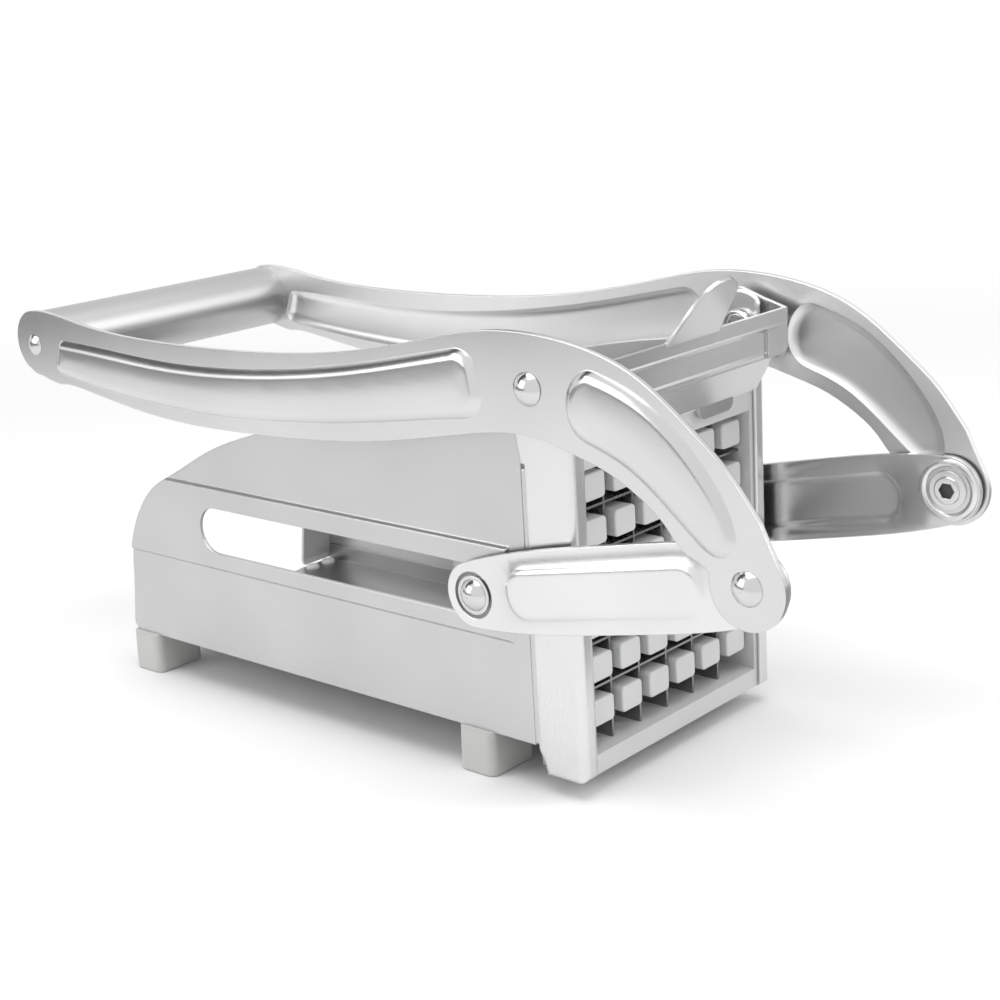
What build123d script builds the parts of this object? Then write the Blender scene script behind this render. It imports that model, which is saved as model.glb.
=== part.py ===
from build123d import *
from math import atan2, cos, degrees, hypot, radians, sin, sqrt
import os

# Lever press that pushes a potato through a square blade grid. Millimetres, +Z up.
# While it is modelled, x = 0 is the plane of the blades' front edges, +X is where the fries come
# out, the near side is -Y, and z = 0 is the table. On export everything shifts along X, so that
# the origin lies under the middle of the whole press.

# ---- clearances ----------------------------------------------------------------------------------
seam_gap = 0.05                 # wall to post
pin_clearance = 0.05            # radial, round a pin or a stud
face_gap = 0.2                  # between flat faces that turn or slide past each other
stop_gap = 0.3                  # left at the ends of a travel
snug_gap = 0.1                  # between faces that stand against each other

# ---- pivots and travel (side view) ---------------------------------------------------------------
lever_pivot_x = -2.0
lever_pivot_z = 103.9
crank_forward = 58.7            # front pin ahead of the lever pivot
crank_drop = 37.6               # front pin below the lever pivot
link_length = 83.5              # front pin to pusher axle
slot_z = 49.5                   # height of the pusher axle
grip_reach = 192.0              # grip behind the lever pivot
grip_drop = 5.8                 # grip below the lever pivot
lever_lift = 92.0               # degrees

# ---- stack of thicknesses on each side, measured out from the middle plane -----------------------
frame_side_gap = 1.9            # blade frame to the inside of the posts
sheet = 1.0
band_height = 0.8               # how far the stamped band stands out of the wall
link_stand_off = 2.2            # wall face to link face
link_sheet = 1.5
link_to_lever = 0.9             # room for the washer between link and lever
lever_sheet = 1.5
pin_radius = 2.5
dome_radius = 4.1
dome_height = 2.3

# ---- body ----------------------------------------------------------------------------------------
body_rear_x = -168.6
seam_x = -10.7                  # where the walls meet the front posts
floor_z = 12.0
floor_flange = 6.0
rear_flange = 12.4
slot_width = 13.4
band_low_z = 37.6
band_high_z = 62.5
band_front_margin = 5.0         # bare wall between the band and the post
wall_corner = 2.5
wall_return_width = 24.0        # how far along X the rear return follows the outline
ear_neck = 20.0                 # the walls and posts narrow into the ear this far below the pivot
ear_flare = (0.8, 15.0)         # a point of that narrowing, from the seam and below the pivot

# ---- front posts ---------------------------------------------------------------------------------
post_front_x = 5.0
post_low_z = 5.1
post_flange_width = 4.6
post_flange_drop = 9.9          # front flange ends this far below the pivot
post_bend = 2.0
post_toe = 2.0
ear_radius = 9.3

# ---- blade frame, blades and pusher fingers ------------------------------------------------------
pitch = 11.45
cells = 6
blade_sheet = 0.6
blade_depth = 8.0
cell_centre_z = 48.6            # height of the middle of the grid
opening_below_grid = 3.65       # the frame's opening reaches this far below the six rows
opening_above_grid = -0.35
opening_side_play = 0.15
upright_blade_seat = 2.5        # how far the blades' ends sit in the frame
level_blade_seat = 1.8
frame_border_side = 3.0
frame_corner = 1.2
frame_border_low = 5.1
frame_border_high = 5.0
frame_rear_x = -9.6
finger_width = 8.2
finger_height = 6.8
finger_reach = 2.1              # finger tips ahead of the blades' front edges
finger_round = 1.2
block_plate = 4.0
axle_to_block = 1.192
block_margin = 2.0
finger_root = 1.0               # how far a finger is sunk into the block

# ---- carriage ------------------------------------------------------------------------------------
carriage_side_gap = 1.5         # to the inside of the wall
carriage_tail = 12.0            # how far the cheeks run on behind the axle
cheek_tail_height = 30.0
axle_radius = 4.0
roller_play = 0.15              # roller to the slot's edge
screw_radius = 1.5
screw_length = 9.0
screw_head = 1.8
cheek_step = 5.0                # depth of the cheeks' straight part behind the back plate

# ---- blade latch ---------------------------------------------------------------------------------
latch_front_x = 11.5
latch_rise = 5.3                # top edge above the lever pivot
latch_plain = 4.1               # height of the plain strip above the pressed step
latch_face = 11.8               # height of the whole front plate
latch_recess = 0.6
latch_recess_margin = 7.1       # pressed step's ends, from the inside of the walls
latch_corner = 2.5
latch_ear_margin = 0.5          # the wings stand out round the posts' ears
latch_wing_reach = 7.0          # from the pivot to where the wing's top edge turns down
latch_wing_rise = 2.0
latch_lip_bend = 1.5
lip_drop = 8.8                  # from the front plate to the lip's lower edge
lip_front_x = 5.8
lip_margin = 4.0                # lip's ends, from the inside of the walls
hook_drop = 3.3                 # hooks below the lip
hook_inner_y = 9.4
hook_outer_y = 24.5
hook_corner = 2.4
hook_overlap = 0.6
tongue_base_half = 11.6
tongue_tip_half = 5.2
tongue_rise = 15.2
tongue_lean = 35.0              # degrees from upright
spring_wire = 0.7
spring_turns = 2
spring_turn_gap = 0.06
spring_coil_gap = 0.6           # from the pivot bolt to the wire
spring_leg_turn = 57.4          # degrees, where the leg leaves the coil

# ---- grip and feet -------------------------------------------------------------------------------
grip_radius = 9.5
grip_wall = 1.0
grip_plug_length = 12.0
grip_rivet_radius = 2.0
grip_dome_radius = 3.2
grip_dome_height = 1.1
socket_nut_radius = 5.0
socket_nut_flange = 0.8
socket_share = 0.62             # hexagon socket's radius as a share of the barrel's
foot_length = 11.4
foot_width = 16.8
foot_overhang = 1.6             # how far a foot stands out beyond the wall
foot_flare = 0.5
foot_inset_rear = 5.6           # rear feet's middle from the body's rear end
front_foot_x = -30.0
stud_radius = 2.2
stud_spacing = 7.0
stud_inset = 2.6                # studs sit this much nearer the middle than the foot
stud_rise = 1.2
foot_corner = 2.5
foot_shoulder = 2.6             # drop of the slope that stands out beyond the wall

# ---- places worked out from the sizes above ------------------------------------------------------
lever_pivot = (lever_pivot_x, lever_pivot_z)
front_pin = (lever_pivot_x + crank_forward, lever_pivot_z - crank_drop)
grip_axis = (lever_pivot_x - grip_reach, lever_pivot_z - grip_drop)


def axle_x_at(lift):
    """Place of the pusher axle along the slot when the lever is lifted by so many degrees."""
    turn = radians(lift)
    pin_x = lever_pivot_x + crank_forward * cos(turn) - crank_drop * sin(turn)
    pin_z = lever_pivot_z - crank_forward * sin(turn) - crank_drop * cos(turn)
    return pin_x - sqrt(link_length ** 2 - (pin_z - slot_z) ** 2)


axle = (axle_x_at(0.0), slot_z)
travel = axle_x_at(0.0) - axle_x_at(lever_lift)

latch_top_z = lever_pivot_z + latch_rise
latch_step_z = latch_top_z - latch_plain
latch_low_z = latch_top_z - latch_face
lip_low_z = latch_low_z - lip_drop
hook_low_z = lip_low_z - hook_drop

grid_half = cells * pitch / 2
frame_opening_half = grid_half + opening_side_play
frame_half = frame_opening_half + frame_border_side

wall_inner = frame_half + frame_side_gap
body_half_width = wall_inner + sheet
band_outer = body_half_width + band_height
link_inner = body_half_width + link_stand_off
link_outer = link_inner + link_sheet
lever_inner = link_outer + link_to_lever
lever_outer = lever_inner + lever_sheet
wing_inner = body_half_width + face_gap
wing_outer = wing_inner + sheet
latch_recess_half = wall_inner - latch_recess_margin
lip_half_width = wall_inner - lip_margin
opening_low_z = cell_centre_z - grid_half - opening_below_grid
opening_high_z = cell_centre_z + grid_half + opening_above_grid
frame_low_z = opening_low_z - frame_border_low
frame_high_z = opening_high_z + frame_border_high
frame_front_x = post_front_x - sheet - snug_gap
cell_centres = [pitch * (i - (cells - 1) / 2) for i in range(cells)]
blade_places = [pitch * (i - (cells - 2) / 2) for i in range(cells - 1)]

block_rear_x = axle[0] + axle_radius + axle_to_block
block_front_x = block_rear_x + block_plate
finger_length = finger_reach - block_front_x
carriage_half = wall_inner - carriage_side_gap
foot_centres_y = body_half_width + foot_overhang - foot_width / 2
rear_foot_x = body_rear_x + foot_inset_rear

# Outline of the lever's rear limb: shares of the way from grip to pivot, and heights above that line.
limb_top = [(0.03, 10.1), (0.12, 7.2), (0.25, 4.3), (0.42, 3.2), (0.58, 3.7),
            (0.71, 5.9), (0.83, 9.8), (0.93, 13.0)]
limb_bottom = [(0.965, -10.8), (0.87, -12.9), (0.72, -17.0), (0.55, -18.8), (0.40, -18.8),
               (0.20, -15.0), (0.07, -11.0)]
# The same for the front limb, from pivot to front pin.
crank_top = [(0.135, 18.6), (0.285, 21.2), (0.455, 21.4), (0.62, 20.2), (0.775, 18.2), (0.92, 14.6)]
crank_bottom = [(0.78, -3.9), (0.66, -2.1), (0.52, -1.2), (0.40, -2.0), (0.255, -4.8)]
hub_top = (5.0, 12.7)
hub_bottom = (3.4, -11.4)
lever_nose_radius = 9.7
lever_nose_top = 60.0           # degrees round the front pin where the nose's arc starts
lever_nose_bottom = -150.0
limb_end_top = (-1.8, 9.9)      # rear end, from the grip's axis
limb_end_tip = -8.3
limb_end_bottom = (-2.4, -7.8)

# Raised panels of the lever.
limb_panel_top = [(0.066, 2.2), (0.173, 0.7), (0.30, -1.3), (0.42, -1.8), (0.583, -0.2), (0.705, 2.5),
                  (0.819, 6.1), (0.915, 9.3)]
limb_panel_bottom = [(0.93, -8.0), (0.83, -9.9), (0.694, -12.9), (0.55, -14.7), (0.42, -15.2),
                     (0.29, -13.8), (0.153, -11.0), (0.045, -7.4)]
limb_panel_front_corner = 6.0
limb_panel_rear_corner = 2.5
crank_panel_top = [(0.185, 15.4), (0.28, 17.4), (0.40, 18.7), (0.56, 17.9), (0.727, 14.8), (0.86, 9.8)]
crank_panel_front = (0.905, 4.8)
crank_panel_bottom = [(0.86, 0.6), (0.79, 0.2), (0.64, 1.6), (0.45, 2.3), (0.33, 0.7), (0.23, -0.2)]
crank_panel_rear = (0.138, 7.0)
lever_panel_height = 1.6
panel_rim = 0.85                # share of a panel's height that slopes

# Link: half widths at shares of its length, and its raised panel.
link_rear_radius = 8.4
link_front_radius = 8.6
link_belly = 10.6
link_belly_place = 0.56         # share of the link's length
link_rear_taper = 9.0           # degrees between each long edge and the link's line
link_panel_rear = 0.134         # shares of the link's length
link_panel_front = 0.843
link_panel_width = 13.2
link_panel_corner = 6.0
link_panel_shift = -0.5
link_panel_height = 0.9
link_dish_radius = 6.0
link_dish_depth = 0.4
link_collar_radius = 7.2

# Top edge of the wall, from the rear corner to the front posts.
wall_shoulder = [(3.0, 25.6), (8.0, 37.0), (16.4, 46.4), (27.0, 52.4), (42.2, 60.3), (63.4, 67.9),
                 (89.0, 75.2), (114.0, 81.5), (142.6, 86.3)]
wall_rear_lean = [(0.0, 3.8), (2.0, 18.0)]


# ---- helpers -------------------------------------------------------------------------------------
def line_frame(start, end):
    """Return a function that places (share along, distance to the left) on the line start to end."""
    run_x = end[0] - start[0]
    run_z = end[1] - start[1]
    length = hypot(run_x, run_z)

    def place(share, left):
        return (start[0] + share * run_x - left * run_z / length,
                start[1] + share * run_z + left * run_x / length)
    return place


def polar(centre, radius, angle):
    return (centre[0] + radius * cos(radians(angle)), centre[1] + radius * sin(radians(angle)))


NEAR = -1                       # the side at -Y, which every helper builds unless told otherwise
FAR = 1


def plate(outline, inner, outer, side=NEAR):
    """Stand a side-view outline up as a plate between two distances from the middle plane."""
    return extrude(Plane.XZ.offset(-side * inner) * outline, amount=-side * (outer - inner))


def pressed(outline, face, height, side=NEAR):
    """A raised panel with a sloping rim that stands out of a side face."""
    panel = plate(outline, face, face + height, side)
    outermost = panel.faces().sort_by(Axis.Y)[0 if side == NEAR else -1]
    return chamfer(outermost.edges(), panel_rim * height)


def disc(centre, radius):
    return Pos(centre[0], centre[1]) * Circle(radius)


def rod(centre, radius, inner, outer, side=NEAR):
    """A round pin that points out to one side."""
    return plate(disc(centre, radius), inner, outer, side)


def tube(centre, radius, bore, inner, outer):
    return rod(centre, radius, inner, outer) - rod(centre, bore, inner, outer)


def cross_rod(centre, radius, half_length):
    return extrude(Plane.XZ * disc(centre, radius), amount=half_length, both=True)


def dome(centre, radius, height, face):
    """A domed head that stands out of a near-side face."""
    ball_radius = (radius ** 2 + height ** 2) / (2 * height)
    ball = Pos(0, 0, height - ball_radius) * Sphere(ball_radius)
    cap = ball & (Pos(0, 0, height / 2) * Box(2 * radius, 2 * radius, height))
    return Plane.XZ.offset(face) * (Pos(centre[0], centre[1], 0) * cap)


def block(x0, x1, y0, y1, z0, z1):
    return Pos((x0 + x1) / 2, (y0 + y1) / 2, (z0 + z1) / 2) * Box(abs(x1 - x0), abs(y1 - y0), abs(z1 - z0))


def rectangle(x0, x1, z0, z1):
    return Pos((x0 + x1) / 2, (z0 + z1) / 2) * Rectangle(abs(x1 - x0), abs(z1 - z0))


def far(shape):
    """The far side's copy of a near-side piece."""
    return mirror(shape, about=Plane.XZ)


def group(shapes):
    """Several separate solids as one piece of the list."""
    return Compound([solid for shape in shapes for solid in shape.solids()])


# ---- walls, posts and floor ----------------------------------------------------------------------
def post_outline():
    front_meets_ear = sqrt(ear_radius ** 2 - (post_front_x - lever_pivot_x) ** 2)
    ear_front = (post_front_x, lever_pivot_z + front_meets_ear)
    ear_top = (lever_pivot_x, lever_pivot_z + ear_radius)
    ear_rear = (lever_pivot_x - ear_radius, lever_pivot_z)
    flare = [(seam_x - ear_flare[0], lever_pivot_z - ear_flare[1]), (seam_x, lever_pivot_z - ear_neck)]
    heel = [(seam_x, floor_z + 1.6), (seam_x + 2.1, floor_z - 2.4), (seam_x + 3.7, post_low_z)]
    edges = [
        Line((post_front_x, post_low_z + post_toe), ear_front),
        ThreePointArc(ear_front, ear_top, ear_rear),
        Spline(ear_rear, *flare, tangents=((0, -1), (0, -1))),
        Line(flare[-1], heel[0]),
        Spline(*heel, tangents=((0, -1), (0.35, -1))),
        Line(heel[-1], (post_front_x - post_toe, post_low_z)),
        RadiusArc((post_front_x - post_toe, post_low_z), (post_front_x, post_low_z + post_toe), -post_toe),
    ]
    return make_face(edges)


def post():
    """C-shaped post: outer side, front flange over the blade frame, rear flange behind it."""
    inner_edge = body_half_width - post_flange_width
    outer_box = block(seam_x, post_front_x, -body_half_width, -inner_edge, post_low_z,
                      lever_pivot_z + ear_radius)
    outer_box = fillet(outer_box.edges().filter_by(Axis.Z).group_by(Axis.Y)[0], post_bend)
    inner_box = block(seam_x + sheet, post_front_x - sheet, -wall_inner, -inner_edge, post_low_z,
                      lever_pivot_z + ear_radius)
    inner_box = fillet(inner_box.edges().filter_by(Axis.Z).group_by(Axis.Y)[0], post_bend - sheet)
    body = (outer_box - inner_box) & plate(post_outline(), inner_edge, body_half_width)
    ear_width = 2 * sheet
    upper_flange = block(seam_x - 1, post_front_x, -(body_half_width - ear_width), -inner_edge,
                         lever_pivot_z - post_flange_drop, lever_pivot_z + ear_radius)
    rear_above = block(lever_pivot_x - ear_radius - 1, seam_x + sheet + 1, -wall_inner, -inner_edge,
                       lever_pivot_z - ear_neck, lever_pivot_z + ear_radius)
    ear_rear_edge = (plate(post_outline(), wall_inner, body_half_width)
                     & block(seam_x - 3, seam_x + 3, -body_half_width, -wall_inner,
                             lever_pivot_z - ear_neck, lever_pivot_z + ear_radius))
    return body - upper_flange - rear_above + ear_rear_edge - rod(
        lever_pivot, pin_radius + pin_clearance, 0, body_half_width)


def wall_outline():
    rear = [(body_rear_x + x, floor_z + z) for x, z in wall_rear_lean]
    shoulder = [(body_rear_x + x, floor_z + z) for x, z in wall_shoulder]
    front_top = (lever_pivot_x - ear_radius - 0.6, lever_pivot_z - 4.4)
    flare = (seam_x - seam_gap - ear_flare[0], lever_pivot_z - ear_flare[1])
    front_low = (seam_x - seam_gap, floor_z)
    front_high = (seam_x - seam_gap, lever_pivot_z - ear_neck)
    edges = [
        Line((body_rear_x + wall_corner, floor_z), front_low),
        Line(front_low, front_high),
        Spline(front_high, flare, front_top, tangents=((0, 1), (0, 1))),
        Spline(front_top, *reversed(shoulder), rear[-1]),
        Line(rear[-1], rear[0]),
        ThreePointArc(rear[0], (body_rear_x + 0.3 * wall_corner, floor_z + 0.3 * wall_corner),
                      (body_rear_x + wall_corner, floor_z)),
    ]
    return make_face(edges)


def band(face, outline):
    """Stamped band along the wall: a bar with sloping sides that stands out of the given face."""
    crest = -face - band_height
    section = make_face(Polyline([(-face, band_low_z), (crest, band_low_z + band_height),
                                  (crest, band_high_z - band_height), (-face, band_high_z)], close=True))
    bar = extrude(Plane.YZ.offset(body_rear_x) * section, amount=seam_x - band_front_margin - body_rear_x)
    bar = chamfer(bar.faces().sort_by(Axis.X)[-1].edges().group_by(Axis.Y)[0], 0.9 * band_height)
    return bar & plate(outline, face, face + band_height)


def wall():
    outline = wall_outline()
    side = plate(outline, wall_inner, body_half_width)
    return_front = body_rear_x + wall_return_width
    rear_strip = outline - Pos(sheet, 0) * outline - rectangle(return_front, 0, 0, lever_pivot_z)
    rear_strip = rear_strip & rectangle(body_rear_x - 1, return_front, floor_z + sheet + face_gap,
                                        band_high_z - 2 * sheet)
    rear_return = plate(rear_strip, body_half_width - rear_flange, wall_inner)
    front_return = block(seam_x - seam_gap - sheet, seam_x - seam_gap, -wall_inner,
                         -(body_half_width - post_flange_width), floor_z + 2 * sheet,
                         lever_pivot_z - ear_neck - 2 * sheet)
    solid = side + rear_return + front_return + band(body_half_width, outline)
    solid = solid - band(wall_inner, outline)
    slot_front = axle[0] + stop_gap
    slot_rear = axle[0] - travel - stop_gap
    slot = (disc((slot_front, slot_z), slot_width / 2) + disc((slot_rear, slot_z), slot_width / 2)
            + rectangle(slot_rear, slot_front, slot_z - slot_width / 2, slot_z + slot_width / 2))
    solid = solid - plate(slot, wall_inner - 1, band_outer + 1)
    return solid


def floor_pan():
    rear = body_rear_x + wall_corner + stop_gap
    front = frame_rear_x - 2 * sheet - 2 * face_gap
    shelf_top = frame_low_z - snug_gap
    pan = block(rear, front, -wall_inner, wall_inner, floor_z, floor_z + sheet)
    for side in (-1, 1):
        edge = side * wall_inner
        pan = pan + block(rear, seam_x - 3 * sheet, edge - side * sheet, edge, floor_z,
                          floor_z + floor_flange)
    lip_half = body_half_width - post_flange_width - stop_gap
    pan = pan + block(front - sheet, front, -lip_half, lip_half, shelf_top - sheet, floor_z + sheet)
    pan = pan + block(front - sheet, lever_pivot_x, -lip_half, lip_half, shelf_top - sheet, shelf_top)
    for foot_x in (rear_foot_x, front_foot_x):
        for side in (-1, 1):
            for stud in (-1, 1):
                stud_y = side * (foot_centres_y - stud_inset) + stud * stud_spacing / 2
                place = Pos(foot_x, stud_y, floor_z)
                pan = pan - place * Cylinder(stud_radius + pin_clearance, 4 * sheet)
    return pan


def foot(foot_x, side):
    centre = Pos(foot_x, side * foot_centres_y, 0)
    bottom = RectangleRounded(foot_length + 2 * foot_flare, foot_width, foot_corner)
    top = RectangleRounded(foot_length, foot_width, foot_corner)
    body = loft([bottom, Pos(0, 0, floor_z) * top])
    body = fillet(body.edges().group_by(Axis.Z)[0], 0.8)
    shoulder = make_face(Polyline([(side * (foot_width / 2 - foot_overhang), floor_z),
                                   (side * foot_width, floor_z),
                                   (side * foot_width, floor_z - foot_shoulder)], close=True))
    body = body - extrude(Plane.YZ * shoulder, amount=foot_length, both=True)
    for stud in (-1, 1):
        height = sheet + stud_rise
        stud_y = stud * stud_spacing / 2 - side * stud_inset
        pin = Pos(0, stud_y, floor_z + height / 2) * Cylinder(stud_radius, height)
        body = body + fillet(pin.edges().group_by(Axis.Z)[-1], 0.8)
    return centre * body


# ---- blade frame and blades ----------------------------------------------------------------------
def upright_blade(y, grow=0.0):
    return block(-blade_depth - grow, grow, y - blade_sheet / 2 - grow, y + blade_sheet / 2 + grow,
                 opening_low_z - upright_blade_seat - grow, opening_high_z + upright_blade_seat + grow)


def level_blade(z, grow=0.0):
    half = frame_opening_half + level_blade_seat + grow
    return block(-blade_depth - grow, grow, -half, half,
                 z - blade_sheet / 2 - grow, z + blade_sheet / 2 + grow)


def blade_frame():
    outer = block(frame_rear_x, frame_front_x, -frame_half, frame_half, frame_low_z, frame_high_z)
    outer = fillet(outer.edges().filter_by(Axis.X), frame_corner)
    opening = block(frame_rear_x - 1, frame_front_x + 1, -frame_opening_half, frame_opening_half,
                    opening_low_z, opening_high_z)
    solid = outer - opening
    for place in blade_places:
        solid = solid - upright_blade(place, pin_clearance)
        solid = solid - level_blade(cell_centre_z + place, pin_clearance)
    return solid


def upright_blades():
    """Upright blades, notched from behind to half their depth where the level ones cross."""
    blades = []
    for y in blade_places:
        blade = upright_blade(y)
        for z in blade_places:
            crossing = cell_centre_z + z
            half = blade_sheet / 2 + pin_clearance
            blade = blade - block(-blade_depth - 1, -blade_depth / 2, y - 1, y + 1,
                                  crossing - half, crossing + half)
        blades.append(blade)
    return group(blades)


def level_blades():
    """Level blades, notched from the front."""
    blades = []
    for z in blade_places:
        crossing = cell_centre_z + z
        blade = level_blade(crossing)
        for y in blade_places:
            half = blade_sheet / 2 + pin_clearance
            blade = blade - block(-blade_depth / 2 - pin_clearance, 1, y - half, y + half,
                                  crossing - 1, crossing + 1)
        blades.append(blade)
    return group(blades)


# ---- pusher --------------------------------------------------------------------------------------
screw_places = [(sy * 2 * pitch, cell_centre_z + sz * 2 * pitch) for sy in (-1, 1) for sz in (-1, 1)]


def along_x(y, z, radius, x0, x1):
    return extrude(Plane.YZ.offset(x0) * Pos(y, z) * Circle(radius), amount=x1 - x0)


def pusher_block():
    half = cell_centres[-1] + finger_width / 2 + block_margin
    low = cell_centre_z + cell_centres[0] - finger_height / 2 - block_margin
    high = cell_centre_z + cell_centres[-1] + finger_height / 2 + block_margin
    body = block(block_rear_x, block_front_x, -half, half, low, high)
    body = fillet(body.edges().filter_by(Axis.X), block_margin)
    face = RectangleRounded(finger_width, finger_height, finger_round)
    finger = extrude(Plane.YZ.offset(block_front_x - finger_root) * face, amount=finger_length + finger_root)
    finger = fillet(finger.edges().group_by(Axis.X)[-1], 0.5)
    body = body + [Pos(0, y, cell_centre_z + z) * finger for y in cell_centres for z in cell_centres]
    for y, z in screw_places:
        body = body - along_x(y, z, screw_radius + pin_clearance, block_rear_x,
                              block_rear_x + screw_length + stop_gap)
    return body


def pusher_carriage():
    """Folded steel: a plate behind the block and two cheeks that carry the axle."""
    low = cell_centre_z + cell_centres[0] - finger_height / 2
    high = cell_centre_z + cell_centres[-1] + finger_height / 2
    tail_x = axle[0] - carriage_tail
    back = block(block_rear_x - sheet, block_rear_x, -carriage_half, carriage_half, low, high)
    cheek = Polyline([(block_rear_x, low), (block_rear_x, high), (block_rear_x - cheek_step, high),
                      (tail_x, slot_z + cheek_tail_height / 2), (tail_x, slot_z - cheek_tail_height / 2),
                      (block_rear_x - cheek_step, low)], close=True)
    cheek = plate(make_face(cheek), carriage_half - sheet, carriage_half)
    cheek = fillet(cheek.edges().filter_by(Axis.Y), 1.5)
    body = back + cheek + far(cheek)
    body = body - cross_rod(axle, axle_radius + pin_clearance, body_half_width)
    for y, z in screw_places:
        body = body - along_x(y, z, screw_radius + pin_clearance, block_rear_x - 2 * sheet, block_rear_x + 1)
    return body


def pusher_screws():
    screws = []
    for y, z in screw_places:
        shank = along_x(y, z, screw_radius, block_rear_x - sheet, block_rear_x + screw_length)
        head = along_x(y, z, 2 * screw_radius, block_rear_x - sheet - screw_head, block_rear_x - sheet)
        head = fillet(head.edges().group_by(Axis.X)[0], 0.4 * screw_head)
        screws.append(head + shank)
    return group(screws)


# ---- lever ---------------------------------------------------------------------------------------
limb = line_frame(grip_axis, lever_pivot)
crank = line_frame(lever_pivot, front_pin)
crank_fall = degrees(atan2(crank_drop, crank_forward))


def from_point(centre, shift):
    return (centre[0] + shift[0], centre[1] + shift[1])


def heading(angle):
    return (cos(radians(angle)), sin(radians(angle)))


def lever_outline():
    nose_top = polar(front_pin, lever_nose_radius, lever_nose_top - crank_fall)
    nose_tip = polar(front_pin, lever_nose_radius, -crank_fall)
    nose_bottom = polar(front_pin, lever_nose_radius, lever_nose_bottom - crank_fall)
    rear_top = from_point(grip_axis, limb_end_top)
    rear_bottom = from_point(grip_axis, limb_end_bottom)
    top = [limb(*p) for p in limb_top] + [from_point(lever_pivot, hub_top)] + [crank(*p) for p in crank_top]
    bottom = ([crank(*p) for p in crank_bottom] + [from_point(lever_pivot, hub_bottom)]
              + [limb(*p) for p in limb_bottom])
    edges = [
        Spline(rear_top, *top, nose_top, tangents=(heading(12), heading(lever_nose_top - crank_fall - 90))),
        ThreePointArc(nose_top, nose_tip, nose_bottom),
        Spline(nose_bottom, *bottom, rear_bottom,
               tangents=(heading(lever_nose_bottom - crank_fall - 90), heading(164))),
        ThreePointArc(rear_bottom, from_point(grip_axis, (limb_end_tip, 0.5)), rear_top),
    ]
    return make_face(edges)


def crank_panel():
    """Banana-shaped panel, by way of its long edges and the middles of its ends."""
    around = [*crank_panel_top, crank_panel_front, *crank_panel_bottom, crank_panel_rear]
    return make_face(Spline(*[crank(*p) for p in around], periodic=True))


def limb_panel():
    """Long panel with two bowed edges and rounded corners."""
    top = Spline(*[limb(*p) for p in limb_panel_top])
    bottom = Spline(*[limb(*p) for p in limb_panel_bottom])
    face = make_face([top, Line(top @ 1, bottom @ 0), bottom, Line(bottom @ 1, top @ 0)])
    rear_corners = face.vertices().sort_by(Axis.X)[:2]
    face = fillet(rear_corners, limb_panel_rear_corner)
    front_corners = [face.vertices().sort_by_distance(end)[0] for end in (top @ 1, bottom @ 0)]
    return fillet(front_corners, limb_panel_front_corner)


def lever_arm(side):
    solid = plate(lever_outline(), lever_inner, lever_outer, side)
    for panel in (limb_panel(), crank_panel()):
        solid = solid + pressed(panel, lever_outer, lever_panel_height, side)
        solid = solid - pressed(panel, lever_inner, lever_panel_height, side)
    for centre in (lever_pivot, front_pin):
        solid = solid - rod(centre, pin_radius + pin_clearance, 0, lever_outer + 1, side)
    return solid - rod(grip_axis, grip_rivet_radius + pin_clearance, 0, lever_outer + 1, side)


def grip_plug():
    return tube(grip_axis, grip_radius - grip_wall - pin_clearance, grip_rivet_radius + pin_clearance,
                lever_inner - grip_plug_length, lever_inner)


def grip_rivet():
    shank = rod(grip_axis, grip_rivet_radius, lever_inner - 0.8 * grip_plug_length, lever_outer)
    return shank + dome(grip_axis, grip_dome_radius, grip_dome_height, lever_outer)


def socket_nut(centre, inner, outer):
    """Flanged nut on the inner side: a thin flange, a short barrel and a hexagon socket."""
    barrel_radius = 0.7 * socket_nut_radius
    barrel = rod(centre, barrel_radius, inner, outer)
    barrel = fillet(barrel.edges().group_by(Axis.Y)[-1], 0.3)
    body = rod(centre, socket_nut_radius, outer - socket_nut_flange, outer) + barrel
    socket = Pos(centre[0], centre[1]) * RegularPolygon(socket_share * barrel_radius, 6)
    return body - plate(socket, inner - 1, outer + 1)


# ---- links ---------------------------------------------------------------------------------------
link_line = line_frame(axle, front_pin)


link_lean = degrees(atan2(front_pin[1] - axle[1], front_pin[0] - axle[0]))


def link_outline():
    rear_top = polar(axle, link_rear_radius, link_lean + 90 + link_rear_taper)
    rear_low = polar(axle, link_rear_radius, link_lean - 90 - link_rear_taper)
    nose_top = polar(front_pin, link_front_radius, link_lean + 80)
    nose_low = polar(front_pin, link_front_radius, link_lean - 80)
    return make_face([
        Spline(rear_top, link_line(link_belly_place, link_belly), nose_top,
               tangents=(heading(link_lean + link_rear_taper), heading(link_lean - 10))),
        ThreePointArc(nose_top, polar(front_pin, link_front_radius, link_lean), nose_low),
        Spline(nose_low, link_line(link_belly_place, -link_belly), rear_low,
               tangents=(heading(link_lean + 190), heading(link_lean + 180 - link_rear_taper))),
        ThreePointArc(rear_low, polar(axle, link_rear_radius, link_lean + 180), rear_top),
    ])


def link_arm(side):
    solid = plate(link_outline(), link_inner, link_outer, side)
    middle = link_line((link_panel_rear + link_panel_front) / 2, link_panel_shift)
    panel_length = (link_panel_front - link_panel_rear) * link_length
    panel = Pos(*middle) * Rot(0, 0, link_lean) * RectangleRounded(panel_length, link_panel_width,
                                                                   link_panel_corner)
    solid = solid + pressed(panel, link_outer, link_panel_height, side)
    solid = solid - pressed(panel, link_inner, link_panel_height, side)
    solid = solid - rod(axle, link_dish_radius, link_outer - link_dish_depth, link_outer + 1, side)
    solid = solid + rod(axle, link_dish_radius - 0.6, link_inner - link_dish_depth, link_inner, side)
    solid = solid - rod(front_pin, link_collar_radius, link_inner - 1, link_inner + link_dish_depth, side)
    for centre in (axle, front_pin):
        solid = solid - rod(centre, pin_radius + pin_clearance, 0, link_outer + 1, side)
    return solid


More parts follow.
